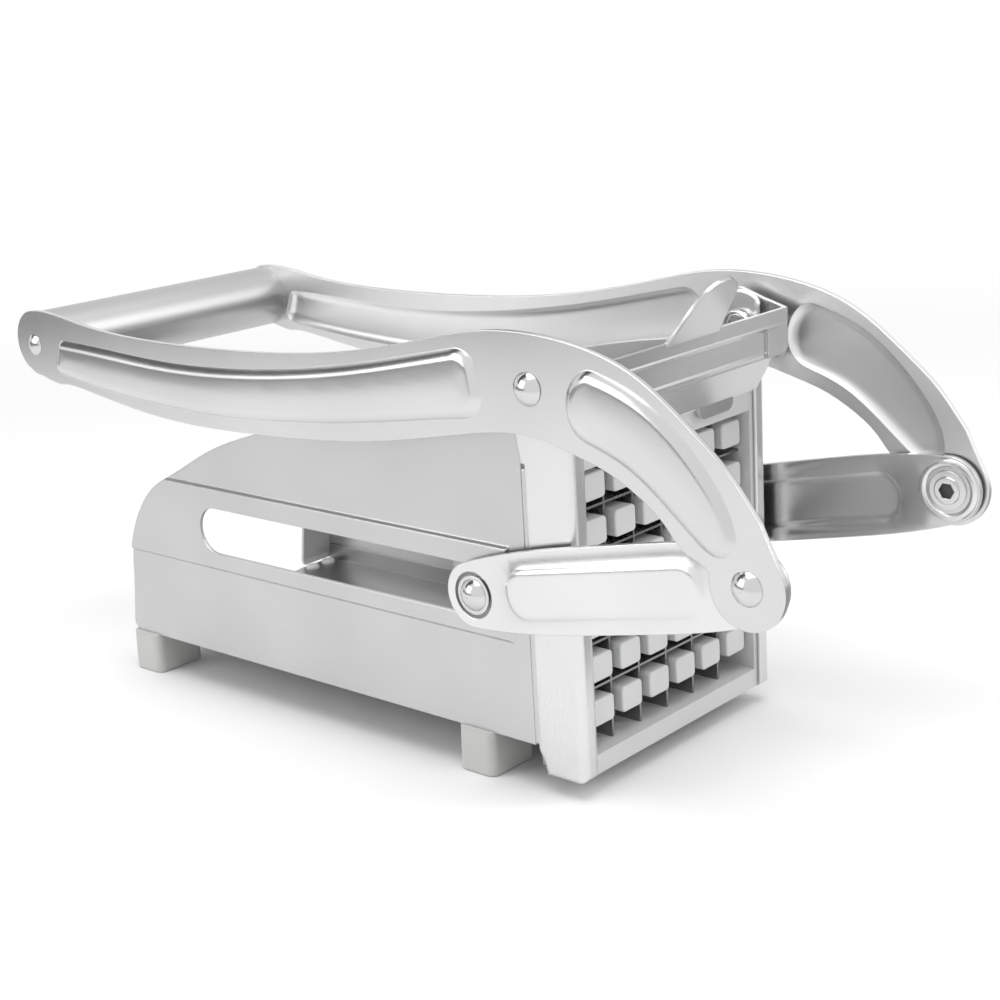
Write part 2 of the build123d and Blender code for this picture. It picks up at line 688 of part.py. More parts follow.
# ---- blade latch ---------------------------------------------------------------------------------
def latch():
    """Folded hood over the blade frame: front plate, pressed step, slanted lip, hooks, wings and tongue."""
    back_x = latch_front_x - sheet
    wing_radius = ear_radius + latch_ear_margin
    low_front = (latch_front_x, latch_low_z + latch_lip_bend)
    low_rear = (back_x - sheet, latch_low_z - latch_lip_bend)
    ear_low = (lever_pivot_x + 2.0, lever_pivot_z - wing_radius + 0.2)
    ear_top = (lever_pivot_x, lever_pivot_z + wing_radius)
    crown = (lever_pivot_x + latch_wing_reach, latch_top_z + latch_wing_rise)
    wing_edges = [
        Line((latch_front_x, latch_top_z), low_front),
        Line(low_front, low_rear),
        Line(low_rear, ear_low),
        ThreePointArc(ear_low, (lever_pivot_x - wing_radius, lever_pivot_z), ear_top),
        Line(ear_top, crown),
        Line(crown, (latch_front_x, latch_top_z)),
    ]
    wing = plate(make_face(wing_edges), wing_inner, wing_outer)
    wing = wing - rod(lever_pivot, pin_radius + pin_clearance, 0, wing_outer + 1)
    front = block(back_x, latch_front_x, -wing_outer, wing_outer, latch_low_z, latch_top_z)
    corner_edges = front.edges().filter_by(Axis.X).group_by(Axis.Z)[0]
    front = fillet(corner_edges, latch_corner)
    pocket = block(latch_front_x - latch_recess, latch_front_x + 1, -latch_recess_half, latch_recess_half,
                   latch_low_z - 1, latch_step_z)
    pressed_back = block(back_x - latch_recess, back_x, -latch_recess_half, latch_recess_half,
                         latch_low_z, latch_step_z + sheet)
    front = front - pocket + pressed_back
    lip_back = back_x - latch_recess
    lip_edge = Polyline([
        (lip_back, latch_low_z + sheet), (lip_back + sheet, latch_low_z + sheet),
        (lip_back + sheet, latch_low_z), (lip_front_x, lip_low_z),
        (lip_front_x - sheet, lip_low_z), (lip_back, latch_low_z + 0.4)], close=True)
    lip = extrude(Plane.XZ * make_face(lip_edge), amount=lip_half_width, both=True)
    solid = front + lip
    for side in (-1, 1):
        hook = block(lip_front_x - sheet, lip_front_x, side * hook_inner_y, side * hook_outer_y,
                     hook_low_z, lip_low_z + hook_overlap)
        solid = solid + fillet(hook.edges().filter_by(Axis.X).group_by(Axis.Z)[0], hook_corner)
    return solid + wing + far(wing) + tongue()


def tongue():
    """Thumb tongue that leans forward from the top edge of the hood."""
    base = Plane(origin=(latch_front_x - sheet, 0, latch_top_z - 0.6), x_dir=(0, 1, 0),
                 z_dir=(cos(radians(tongue_lean)), 0, -sin(radians(tongue_lean))))
    reach = tongue_rise / cos(radians(tongue_lean))
    left = [(-tongue_base_half, 0), (-0.80 * tongue_base_half, 0.36 * reach),
            (-0.68 * tongue_base_half, 0.70 * reach), (-tongue_tip_half * 0.9, 0.93 * reach)]
    right = [(-x, z) for x, z in reversed(left)]
    face = make_face([Spline(*left, (0, reach), *right), Line(right[-1], left[0])])
    return extrude(base * face, amount=sheet)


def latch_spring():
    """Torsion spring round the inner end of the lever pivot; its leg runs straight off to the hood."""
    radius = pin_radius + spring_coil_gap + spring_wire
    coil_pitch = spring_wire + spring_turn_gap
    inner = wall_inner - face_gap - spring_wire / 2 - spring_turns * coil_pitch
    coil = Rot(0, 0, spring_leg_turn) * Helix(coil_pitch, spring_turns * coil_pitch, radius)
    section = Plane(coil @ 0, z_dir=coil % 0) * Circle(spring_wire / 2)
    wire = sweep(section, path=coil)
    reach = latch_front_x - sheet - lever_pivot_x - spring_wire / 2 - snug_gap
    off_x, off_z = polar((0, 0), 1.0, spring_leg_turn)
    leg = extrude(section, amount=-(reach - radius * off_x) / off_z)
    return Plane.XZ.offset(inner) * Pos(*lever_pivot, 0) * (wire + leg)


# ---- write every piece ---------------------------------------------------------------------------
middle_x = (front_pin[0] + lever_nose_radius + grip_axis[0] + limb_end_tip) / 2


def save(name, shape):
    export_step(Pos(-middle_x, 0, 0) * shape, os.path.join("parts", name + ".step"))


def save_pair(name, shape):
    """Write the near side's piece and its mirror image as two nodes."""
    save("near_" + name, shape)
    save("far_" + name, far(shape))


os.makedirs("parts", exist_ok=True)
save("floor_pan", floor_pan())
save_pair("side_wall", wall())
save_pair("front_post", post())
for name, foot_x in (("rear_foot", rear_foot_x), ("front_foot", front_foot_x)):
    save("near_" + name, foot(foot_x, -1))
    save("far_" + name, foot(foot_x, 1))

save("blade_frame", blade_frame())
save("upright_blades", upright_blades())
save("level_blades", level_blades())

bolt_face = lever_outer + snug_gap
pivot_bolt = (rod(lever_pivot, pin_radius, wall_inner - sheet, bolt_face)
              + dome(lever_pivot, dome_radius, dome_height, bolt_face))
save_pair("pivot_bolt", pivot_bolt)
save_pair("pivot_nut", tube(lever_pivot, pin_radius + spring_coil_gap, pin_radius + pin_clearance,
                            wall_inner - 1.8 * sheet, wall_inner))
save_pair("pivot_spacer", tube(lever_pivot, 2 * pin_radius, pin_radius + pin_clearance,
                               wing_outer + face_gap, lever_inner - face_gap))

save("pusher_block", pusher_block())
save("pusher_carriage", pusher_carriage())
save("pusher_screws", pusher_screws())
axle_end = link_inner - link_dish_depth - stop_gap
save("pusher_axle", cross_rod(axle, axle_radius, axle_end))
save_pair("slot_roller", tube(axle, slot_width / 2 - roller_play, axle_radius + pin_clearance,
                              wall_inner - sheet, axle_end - stop_gap))

save("near_lever_arm", lever_arm(NEAR))
save("far_lever_arm", lever_arm(FAR))
grip = cross_rod(grip_axis, grip_radius, lever_inner)
grip = grip - cross_rod(grip_axis, grip_radius - grip_wall, lever_inner + 1)
save("grip_tube", grip)
save_pair("grip_plug", grip_plug())
save_pair("grip_rivet", grip_rivet())
collar_face = link_inner + link_dish_depth
front_barrel = (rod(front_pin, pin_radius, collar_face, lever_outer)
                + dome(front_pin, dome_radius, dome_height, lever_outer))
save_pair("front_pin", front_barrel)
save_pair("front_nut", socket_nut(front_pin, band_outer + 2 * face_gap, collar_face - snug_gap))
save_pair("front_washer", tube(front_pin, 2 * pin_radius, pin_radius + pin_clearance,
                               link_outer + snug_gap, lever_inner))

save("near_link_arm", link_arm(NEAR))
save("far_link_arm", link_arm(FAR))
rear_rivet = (rod(axle, pin_radius, link_inner - link_dish_depth, link_outer)
              + dome(axle, dome_radius, dome_height, link_outer))
save_pair("link_rivet", rear_rivet)
save_pair("link_washer", tube(axle, 2 * pin_radius, pin_radius + pin_clearance,
                              link_outer - link_dish_depth, link_outer))

save("blade_latch", latch())
save_pair("latch_spring", latch_spring())
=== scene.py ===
# %% [markdown]
# # Dressing a french fry cutter
#
# The press arrives as a imported model: every plate, pin and foot is already in its place, in metres,
# and each one rides on a body that a joint can move. This lesson gives those parts their finish.
# It makes a studio first, then the metals and plastics. Then it rebuilds the pieces whose pressed panels are
# softer than the plain model's, the two lever arms and the two links, and at the end it adds the collars
# round the front nuts, near-black discs that paint the shade in their sockets, and the strips that fill the
# wall seams.

# %% Load the model
import bpy
import bmesh
import math
from mathutils import Matrix, Vector
from mathutils.geometry import delaunay_2d_cdt


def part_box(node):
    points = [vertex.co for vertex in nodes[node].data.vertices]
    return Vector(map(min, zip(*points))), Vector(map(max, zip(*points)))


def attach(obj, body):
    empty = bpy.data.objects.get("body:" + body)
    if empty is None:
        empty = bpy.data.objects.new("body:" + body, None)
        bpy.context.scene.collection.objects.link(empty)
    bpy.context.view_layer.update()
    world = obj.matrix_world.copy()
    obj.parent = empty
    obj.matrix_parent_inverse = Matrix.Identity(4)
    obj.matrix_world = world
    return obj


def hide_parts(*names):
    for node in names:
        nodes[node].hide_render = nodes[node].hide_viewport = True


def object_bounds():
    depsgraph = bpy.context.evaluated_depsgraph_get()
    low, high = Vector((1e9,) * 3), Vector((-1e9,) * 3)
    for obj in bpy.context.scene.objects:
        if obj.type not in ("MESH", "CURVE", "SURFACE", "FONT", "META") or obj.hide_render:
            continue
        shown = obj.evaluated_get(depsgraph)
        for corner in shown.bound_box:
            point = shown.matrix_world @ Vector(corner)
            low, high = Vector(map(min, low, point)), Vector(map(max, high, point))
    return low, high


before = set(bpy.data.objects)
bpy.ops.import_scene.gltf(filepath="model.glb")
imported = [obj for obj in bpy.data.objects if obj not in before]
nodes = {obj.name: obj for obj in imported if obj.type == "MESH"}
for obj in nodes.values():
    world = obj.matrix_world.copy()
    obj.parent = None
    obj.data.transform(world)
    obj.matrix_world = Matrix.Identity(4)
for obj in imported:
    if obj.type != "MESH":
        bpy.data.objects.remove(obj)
cad_low, cad_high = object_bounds()
MM = 0.001
print("nodes:", len(nodes), "size in mm:", [round(v / MM, 1) for v in cad_high - cad_low])

# %% [markdown]
# ## The camera
#
# The camera stands in front of the press, a little above it, and turned until the long lever arm
# falls off towards the left. Azimuth is counted from the near side, elevation from the table. A
# camera looks along its own -Z, so its matrix has the direction *backwards* as third column. Roll
# mixes the first two columns.

# %% Place the camera
camera_azimuth = math.radians(42.03)
camera_elevation = math.radians(15.74)
camera_roll = math.radians(-3.38)
camera_place = Vector((0.33214, -0.35319, 0.19260))
camera_lens = 65.58
sensor_width = 36.0
nearest_seen = 0.01

back = Vector((math.sin(camera_azimuth) * math.cos(camera_elevation),
               -math.cos(camera_azimuth) * math.cos(camera_elevation),
               math.sin(camera_elevation)))
level = Vector((math.cos(camera_azimuth), math.sin(camera_azimuth), 0.0))
upright = back.cross(level)
right = math.cos(camera_roll) * level + math.sin(camera_roll) * upright
up = math.cos(camera_roll) * upright - math.sin(camera_roll) * level

camera = bpy.data.objects.new("camera", bpy.data.cameras.new("camera"))
bpy.context.scene.collection.objects.link(camera)
camera.data.lens = camera_lens
camera.data.sensor_width = sensor_width
camera.data.clip_start = nearest_seen
turned = Matrix((right, up, back)).transposed().to_4x4()
camera.matrix_world = Matrix.Translation(camera_place) @ turned
bpy.context.scene.camera = camera
print("camera at", [round(v, 3) for v in camera_place], "lens", camera_lens)

# %% [markdown]
# ## Writing shader maths as Python
#
# A finish is a sum of patterns: some grain, some cloudiness, a lighter colour near the edges, which on the
# steel is a painted highlight. Wiring that by hand hides the idea, so one small class wraps a socket and
# lets Python's operators add the Math nodes. The reflected forms are there too, so `1 - mask` works. Every
# other node comes from one method, `Finish.node`, which takes the node's type, its settings and what goes
# into its sockets.

# %% A socket that takes part in sums
class Signal:
    def __init__(self, finish, socket):
        self.finish = finish
        self.socket = socket

    def sum(self, operation, first, second):
        return self.finish.node("ShaderNodeMath", {"operation": operation}, {0: first, 1: second})

    def __add__(self, other):
        return self.sum("ADD", self, other)

    def __radd__(self, other):
        return self.sum("ADD", other, self)

    def __sub__(self, other):
        return self.sum("SUBTRACT", self, other)

    def __rsub__(self, other):
        return self.sum("SUBTRACT", other, self)

    def __mul__(self, other):
        return self.sum("MULTIPLY", self, other)

    def __rmul__(self, other):
        return self.sum("MULTIPLY", other, self)

    def clamp(self):
        return self.finish.node("ShaderNodeClamp", inputs={"Value": self})


# %% A node tree with one way in
class Finish:
    def __init__(self, tree):
        self.tree = tree
        tree.nodes.clear()

    @classmethod
    def material(cls, name):
        """A new material with an empty node tree."""
        made = bpy.data.materials.new(name)
        made.use_nodes = True
        finish = cls(made.node_tree)
        finish.material = made
        return finish

    def end(self, kind, surface):
        """The output node, with the finished shader in it."""
        self.tree.links.new(surface.socket, self.tree.nodes.new(kind).inputs["Surface"])

    def node(self, kind, settings=(), inputs=(), output=0):
        made = self.tree.nodes.new(kind)
        for name, value in dict(settings).items():
            if name == "stops":
                for stop, (place, colour) in zip(made.color_ramp.elements, value):
                    stop.position = place
                    stop.color = colour
            else:
                setattr(made, name, value)
        for name, value in dict(inputs).items():
            if isinstance(value, Signal):
                self.tree.links.new(value.socket, made.inputs[name])
            else:
                made.inputs[name].default_value = value
        return Signal(self, made.outputs[output])


def grey(level):
    return (level, level, level, 1.0)


# %% [markdown]
# ## The studio
#
# A white sweep and large soft lamps suit bare steel: the metal shows what stands around it, so a
# busy room would spoil it. The background is white to the eye and in reflections only. For diffuse
# light the same sky is dimmer, so that pale plastic keeps its tone. The floor is a real surface that
# takes the shadow close to the press and fades to pure white further out.

# %% Sky
SKY_LIGHT = 0.60
world = bpy.data.worlds.new("studio")
world.use_nodes = True
bpy.context.scene.world = world
bpy.context.scene.view_settings.view_transform = "Standard"
sky = Finish(world.node_tree)


def seen_directly(finish):
    """1 for rays from the eye, from gloss and through glass, 0 for diffuse light."""
    eye = finish.node("ShaderNodeLightPath", output="Is Camera Ray")
    gloss = finish.node("ShaderNodeLightPath", output="Is Glossy Ray")
    glass = finish.node("ShaderNodeLightPath", output="Is Transmission Ray")
    return (eye + gloss + glass).clamp()


dim = sky.node("ShaderNodeBackground", inputs={"Color": grey(1.0), "Strength": SKY_LIGHT})
white = sky.node("ShaderNodeBackground", inputs={"Color": grey(1.0), "Strength": 1.0})
both = sky.node("ShaderNodeMixShader", inputs={0: seen_directly(sky), 1: dim, 2: white})
sky.end("ShaderNodeOutputWorld", both)
print("sky level for diffuse light:", SKY_LIGHT)

# %% Floor
FLOOR_COLOUR = 0.90
floor_fade_start = 0.25
floor_fade_end = 0.75
floor_half = 3.0

floor_mesh = bmesh.new()
bmesh.ops.create_grid(floor_mesh, x_segments=8, y_segments=8, size=floor_half)
floor = bpy.data.objects.new("floor", bpy.data.meshes.new("floor"))
floor_mesh.to_mesh(floor.data)
floor_mesh.free()
bpy.context.scene.collection.objects.link(floor)
floor.location.z = cad_low.z

sweep = Finish.material("floor_sweep")
place = sweep.node("ShaderNodeTexCoord", output="Object")
distance = sweep.node("ShaderNodeVectorMath", {"operation": "LENGTH"}, {0: place}, "Value")
fade = sweep.node("ShaderNodeMapRange", {"interpolation_type": "SMOOTHSTEP"},
                  {"Value": distance, "From Min": floor_fade_start, "From Max": floor_fade_end})
paper = sweep.node("ShaderNodeBsdfPrincipled", inputs={"Base Color": grey(FLOOR_COLOUR), "Roughness": 0.8,
                                                       "Specular IOR Level": 0.1})
glow = sweep.node("ShaderNodeEmission", inputs={"Color": grey(1.0), "Strength": 1.0})
sweep.end("ShaderNodeOutputMaterial",
          sweep.node("ShaderNodeMixShader", inputs={0: fade * seen_directly(sweep), 1: paper, 2: glow}))
floor.data.materials.append(sweep.material)
print("floor fades to white between", floor_fade_start, "and", floor_fade_end, "m")

# %% [markdown]
# Three lamps do the work. A wide one overhead gives the plates their soft roll of light, a second at
# the camera's left lifts the near side, and a narrow one behind draws the bright lines along the
# bends. Each is aimed at the middle of the press.

# %% Lamps
middle = (cad_low + cad_high) / 2


def lamp(name, place, width, depth, power):
    made = bpy.data.objects.new(name, bpy.data.lights.new(name, "AREA"))
    made.data.shape = "RECTANGLE"
    made.data.size = width
    made.data.size_y = depth
    made.data.energy = power
    made.location = place
    made.rotation_mode = "QUATERNION"
    made.rotation_quaternion = (Vector(place) - middle).to_track_quat("Z", "Y")
    bpy.context.scene.collection.objects.link(made)
    return made


lamp("overhead", (0.10, -0.10, 0.95), 0.9, 0.7, 6.0)
lamp("near_side", (-0.55, -0.85, 0.45), 0.6, 0.6, 3.0)
lamp("edge_light", (0.75, 0.55, 0.60), 0.3, 0.6, 2.0)

# %% [markdown]
# Steel that stands in nothing but white looks like paper. Photographers hang dark boards beside the
# lamps, outside the picture, and the bends of the metal pick them up as thin grey lines. The boards
# here are seen by gloss only: they cast no shadow and the eye never meets them.

# %% Dark boards
def board(name, place, width, depth, shade):
    card = bmesh.new()
    bmesh.ops.create_grid(card, x_segments=1, y_segments=1, size=0.5)
    bmesh.ops.scale(card, vec=(width, depth, 1.0), verts=card.verts)
    made = bpy.data.objects.new(name, bpy.data.meshes.new(name))
    card.to_mesh(made.data)
    card.free()
    made.location = place
    made.rotation_mode = "QUATERNION"
    made.rotation_quaternion = (middle - Vector(place)).to_track_quat("Z", "Y")
    bpy.context.scene.collection.objects.link(made)
    for ray in ("camera", "diffuse", "transmission", "volume_scatter", "shadow"):
        setattr(made, "visible_" + ray, False)
    felt = Finish.material(name)
    felt.end("ShaderNodeOutputMaterial",
             felt.node("ShaderNodeEmission", inputs={"Color": grey(shade), "Strength": 1.0}))
    made.data.materials.append(felt.material)
    return made


board("board_above_left", (-0.75, -0.45, 0.88), 0.55, 1.2, 0.08)
board("board_low_left", (-0.44, -0.48, 0.06), 0.9, 0.13, 0.30)
board("board_behind", (-0.30, 1.20, 0.35), 1.6, 0.30, 0.25)
board("board_right", (1.20, 0.30, 0.20), 0.35, 0.8, 0.12)
floor_board = board("board_on_floor", (0.35, 0.30, 0.003), 0.45, 0.60, 0.45)
floor_board.rotation_quaternion = (1.0, 0.0, 0.0, 0.0)

# %% [markdown]
# ## Satin steel
#
# The plates are stainless sheet with a satin finish. What tells it from plain grey paint is that its
# roughness follows a fine grain, that it clouds a little over a few centimetres, and that the edges are
# smoother than the faces. Near every edge the grey is also lifted: a painted highlight. The grain is a noise
# stretched along the rolling direction. The edge mask compares the true normal with the one a Bevel node
# rounds off: they only differ close to an edge.

# %% Patterns that the metals share
def object_place(finish, scale):
    """Object coordinates in metres, stretched by a scale along X, Y and Z."""
    coordinates = finish.node("ShaderNodeTexCoord", output="Object")
    return finish.node("ShaderNodeMapping", inputs={"Vector": coordinates, "Scale": scale})


def noise(finish, scale, detail=2.0, roughness=0.5):
    return finish.node("ShaderNodeTexNoise",
                       inputs={"Vector": object_place(finish, scale), "Scale": 1.0, "Detail": detail,
                               "Roughness": roughness})


def ramp(finish, value, dark, light, low=0.0, high=1.0):
    """A colour between two, picked by a value that runs from low to high."""
    return finish.node("ShaderNodeValToRGB", {"stops": ((low, dark), (high, light))}, {"Fac": value})


def rounded(finish, radius):
    return finish.node("ShaderNodeBevel", {"samples": 6}, {"Radius": radius})


def edge_mask(finish, radius, gain):
    true_normal = finish.node("ShaderNodeNewGeometry", output="Normal")
    agreement = finish.node("ShaderNodeVectorMath", {"operation": "DOT_PRODUCT"},
                            {0: rounded(finish, radius), 1: true_normal}, "Value")
    return ((1.0 - agreement) * gain).clamp()


def facing_forward(finish):
    """1 on faces that look along the part's own X."""
    normal = finish.node("ShaderNodeTexCoord", output="Normal")
    return ((finish.node("ShaderNodeSeparateXYZ", inputs={0: normal}, output="X") - 0.75) * 5.0).clamp()


def crease_height(finish, creases):
    """A small tent along each crease; a crease is a height in metres."""
    place = finish.node("ShaderNodeTexCoord", output="Object")
    z = finish.node("ShaderNodeSeparateXYZ", inputs={0: place}, output="Z")
    total = 0.0
    for crease in creases:
        off = finish.node("ShaderNodeMath", {"operation": "ABSOLUTE"}, {0: z - crease})
        total = total + (1.0 - off * (1.0 / CREASE_HALF_WIDTH)).clamp()
    return total


# %% Steel in several finishes
CREASE_DEPTH = 0.35 * MM
CREASE_HALF_WIDTH = 0.7 * MM


def steel(name, shade, spread, roughness, grain_scale, grain_depth, edge_radius, painted_edge_highlight=0.14,
          sheared=0.0, creases=()):
    """Rolled steel: shade and spread of its grey, a painted highlight near its edges, and a grain stretched
    along one axis.

    Sheared sheet is matt where its cut ends face forward. Creases are the heights of pressed lines.
    """
    finish = Finish.material(name)
    cloud = noise(finish, CLOUD_SCALE, 2.0)
    grain = noise(finish, grain_scale, 3.0, 0.6)
    edge = edge_mask(finish, edge_radius, 2.5)
    body = ramp(finish, cloud, tint(shade - spread), tint(shade + spread), 0.3, 0.7)
    # painted highlight: near every edge the grey is lifted by painted_edge_highlight
    colour = finish.node("ShaderNodeMix", {"data_type": "RGBA"},
                         {0: edge, 6: body, 7: tint(shade + painted_edge_highlight)}, 2)
    smooth = rounded(finish, edge_radius)
    if creases:
        smooth = finish.node("ShaderNodeBump", inputs={"Strength": 1.0, "Distance": CREASE_DEPTH,
                                                       "Height": crease_height(finish, creases),
                                                       "Normal": smooth})
    relief = finish.node("ShaderNodeBump", inputs={"Strength": 0.5, "Distance": grain_depth,
                                                   "Height": grain, "Normal": smooth})
    rough = roughness + 0.05 * (grain - 0.5) + 0.06 * (cloud - 0.5)
    metal = 1.0
    if sheared:
        cut = sheared * facing_forward(finish)
        metal = 1.0 - cut
        rough = rough + 0.3 * cut
    surface = finish.node("ShaderNodeBsdfPrincipled", inputs={"Base Color": colour, "Metallic": metal,
                                                              "Normal": relief, "Roughness": rough})
    finish.end("ShaderNodeOutputMaterial", surface)
    return finish.material


def tint(level):
    """The grey of bare stainless steel, a touch cooler than neutral."""
    return (level, level, 1.005 * level, 1.0)


CLOUD_SCALE = (22.0, 22.0, 22.0)
EVEN = (900.0, 900.0, 900.0)
LENGTHWISE = (60.0, 3000.0, 3000.0)
UPRIGHT = (3000.0, 3000.0, 60.0)
CROSSWISE = (3000.0, 60.0, 3000.0)
FINE = 0.004 * MM
HOOD_CREASES = (105.0 * MM, 98.5 * MM)

steels = {
    "wall_steel": steel("wall_steel", 0.57, 0.03, 0.32, LENGTHWISE, FINE, 0.5 * MM, sheared=0.9),
    # painted shade: the floor pan and the pusher carriage are the same steel as the walls, darker here for
    # the shade inside the press
    "shaded_inner_steel": steel("shaded_inner_steel", 0.36, 0.03, 0.34, LENGTHWISE, FINE, 0.3 * MM),
    # painted light: the posts are the same sheet as the walls, given a lighter grey than wall_steel and
    # twice the painted edge highlight, for the bright line along their bends
    "lit_post_steel": steel("lit_post_steel", 0.72, 0.02, 0.26, UPRIGHT, 0.3 * FINE, 1.2 * MM, 0.28),
    "arm_steel": steel("arm_steel", 0.65, 0.03, 0.20, LENGTHWISE, FINE, 0.4 * MM),
    # painted light: the far arm is the same steel as arm_steel, given a lighter grey for the dark inside of
    # the press that it faces
    "far_arm_lit_steel": steel("far_arm_lit_steel", 0.80, 0.03, 0.34, LENGTHWISE, FINE, 0.4 * MM),
    # painted shade: the far link is the same steel as link_steel, given a darker, cloudier grey for the
    # shade it stands in
    "far_link_shaded_steel": steel("far_link_shaded_steel", 0.66, 0.06, 0.26, LENGTHWISE, 2 * FINE, 0.4 * MM),
    "link_steel": steel("link_steel", 0.74, 0.03, 0.24, LENGTHWISE, FINE, 0.4 * MM),
    "hood_steel": steel("hood_steel", 0.54, 0.04, 0.22, CROSSWISE, FINE, 0.4 * MM, creases=HOOD_CREASES),
    "tube_steel": steel("tube_steel", 0.48, 0.02, 0.38, CROSSWISE, FINE, 0.4 * MM),
    # painted shade: near-black steel for the discs that stand for the shade in the nut sockets
    "painted_shade_socket": steel("painted_shade_socket", 0.10, 0.03, 0.35, EVEN, FINE, 0.1 * MM),
    "blade_steel": steel("blade_steel", 0.30, 0.04, 0.28, UPRIGHT, FINE, 0.1 * MM),
    "bright_steel": steel("bright_steel", 0.64, 0.01, 0.17, EVEN, 0.002 * MM, 0.3 * MM),
}
print("steels:", ", ".join(steels))

# %% [markdown]
# ## Plastic and rubber
#
# The blade frame and the pusher are moulded in light grey plastic. Moulded faces carry a very fine
# spark texture, which shows as a soft, broken sheen, and the tone drifts slightly where the melt
# flowed. The feet are a darker, duller rubber with a coarser skin.

# %% Moulded finishes
FLOW_SCALE = (45.0, 45.0, 45.0)


def moulded(name, colour, drift, roughness, skin_scale, skin_depth, edge_radius):
    finish = Finish.material(name)
    flow = noise(finish, FLOW_SCALE, 3.0)
    skin = noise(finish, (skin_scale, skin_scale, skin_scale), 4.0, 0.6)
    edge = edge_mask(finish, edge_radius, 1.5)
    low = tuple(c - drift for c in colour) + (1.0,)
    high = tuple(c + drift for c in colour) + (1.0,)
    # the colour is lighter near every edge, blended in by edge_mask
    lighter_edge_colour = tuple(min(1.0, c + 3 * drift) for c in colour) + (1.0,)
    body = ramp(finish, 0.7 * flow + 0.3 * skin, low, high, 0.3, 0.7)
    paint = finish.node("ShaderNodeMix", {"data_type": "RGBA"}, {0: edge, 6: body, 7: lighter_edge_colour}, 2)
    relief = finish.node("ShaderNodeBump", inputs={"Strength": 0.4, "Distance": skin_depth,
                                                   "Height": skin, "Normal": rounded(finish, edge_radius)})
    surface = finish.node("ShaderNodeBsdfPrincipled",
                          inputs={"Base Color": paint, "Roughness": roughness + 0.1 * (skin - 0.5),
                                  "Normal": relief, "Specular IOR Level": 0.4})
    finish.end("ShaderNodeOutputMaterial", surface)
    return finish.material


plastics = {
    "frame_plastic": moulded("frame_plastic", (0.64, 0.65, 0.64), 0.015, 0.45, 1800.0, 0.02 * MM, 0.3 * MM),
    "finger_plastic": moulded("finger_plastic", (0.66, 0.67, 0.66), 0.015, 0.42, 1800.0, 0.02 * MM,
                              0.4 * MM),
    "roller_nylon": moulded("roller_nylon", (0.78, 0.78, 0.76), 0.01, 0.40, 1500.0, 0.01 * MM, 0.3 * MM),
    "foot_rubber": moulded("foot_rubber", (0.53, 0.53, 0.52), 0.02, 0.62, 900.0, 0.05 * MM, 0.5 * MM),
}
print("moulded:", ", ".join(plastics))

# %% [markdown]
# ## Dress the parts that keep their shape
#
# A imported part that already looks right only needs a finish. It goes into the part's own material
# slot. The name of a part says what it is made of, so a short list from name to finish is enough.

# %% Hand out the finishes
finish_of = {
    "floor_pan": "shaded_inner_steel", "side_wall": "wall_steel", "front_post": "lit_post_steel",
    "rear_foot": "foot_rubber", "front_foot": "foot_rubber", "blade_frame": "frame_plastic",
    "upright_blades": "blade_steel", "level_blades": "blade_steel", "pivot_bolt": "bright_steel",
    "pivot_nut": "bright_steel", "pivot_spacer": "bright_steel", "lever_arm": "arm_steel",
    "grip_tube": "tube_steel", "grip_plug": "roller_nylon", "grip_rivet": "bright_steel",
    "front_pin": "bright_steel", "front_nut": "bright_steel", "front_washer": "bright_steel",
    "link_arm": "arm_steel", "link_rivet": "bright_steel", "link_washer": "bright_steel",
    "pusher_block": "finger_plastic", "pusher_carriage": "shaded_inner_steel", "pusher_screws": "bright_steel",
    "pusher_axle": "bright_steel", "slot_roller": "roller_nylon", "blade_latch": "hood_steel",
    "latch_spring": "bright_steel",
}
finishes = {**steels, **plastics}
for name, node in nodes.items():
    kind = name.removeprefix("near_").removeprefix("far_")
    node.material_slots[0].material = finishes[finish_of[kind]]
print("dressed", len(nodes), "parts")

# %% [markdown]
# ## Pressed plates
#
# The lever arms and the links are flat blanks with panels pressed outwards. On the real plate the
# punch leaves a soft shoulder, then a thin ridge, then a face that is still slightly crowned. A
# hard chamfer can't show that, so these four plates are made again as height fields. Their outlines
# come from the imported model: the triangles that lie in the blank's outer face are bounded by closed
# loops, one for the plate, one for each hole and one for each panel.

# %% Read the loops that bound a flat face
def flat_loops(node, face_y):
    """Closed loops of (x, z) round the part of a node's surface that lies in the plane y = face_y."""
    mesh = node.data
    onward = {}
    for polygon in mesh.polygons:
        corners = [mesh.vertices[i].co for i in polygon.vertices]
        if max(abs(corner.y - face_y) for corner in corners) > 0.01 * MM:
            continue
        keys = [(round(corner.x, 7), round(corner.z, 7)) for corner in corners]
        for start, end in zip(keys, keys[1:] + keys[:1]):
            if start in onward.get(end, ()):
                onward[end].remove(start)
            else:
                onward.setdefault(start, []).append(end)
    loops = []
    while any(onward.values()):
        first = next(start for start, ends in onward.items() if ends)
        loop, here = [], first
        while True:
            loop.append(Vector(here))
            here = onward[here].pop()
            if here == first:
                break
        loops.append(loop)
    return sorted(loops, key=spread, reverse=True)


def spread(loop):
    """Longest side of a loop's box."""
    return max(max(p[i] for p in loop) - min(p[i] for p in loop) for i in (0, 1))


# %% [markdown]
# The height of a point in a panel depends only on how far in from the panel's edge it lies. Rings of
# points at chosen depths follow the edge, so the shoulder and the ridge get clean rows of faces, and
# a loose grid fills the crown. Blender's constrained Delaunay triangulation joins them all.

# %% Rings and heights
SHOULDER_POWER = 2.2
RIDGE_SHARE = 0.74
CROWN_REACH = 10.0 * MM
ring_depths = [d * MM for d in (0.15, 0.35, 0.55, 0.8, 1.05, 1.3, 1.6, 1.9, 2.2, 2.5, 2.8, 3.2, 3.8)]
GRID_STEP = 2.0 * MM
LOOP_STEP = 1.0 * MM
RING_TRUST = 0.97
WELD = 1e-7


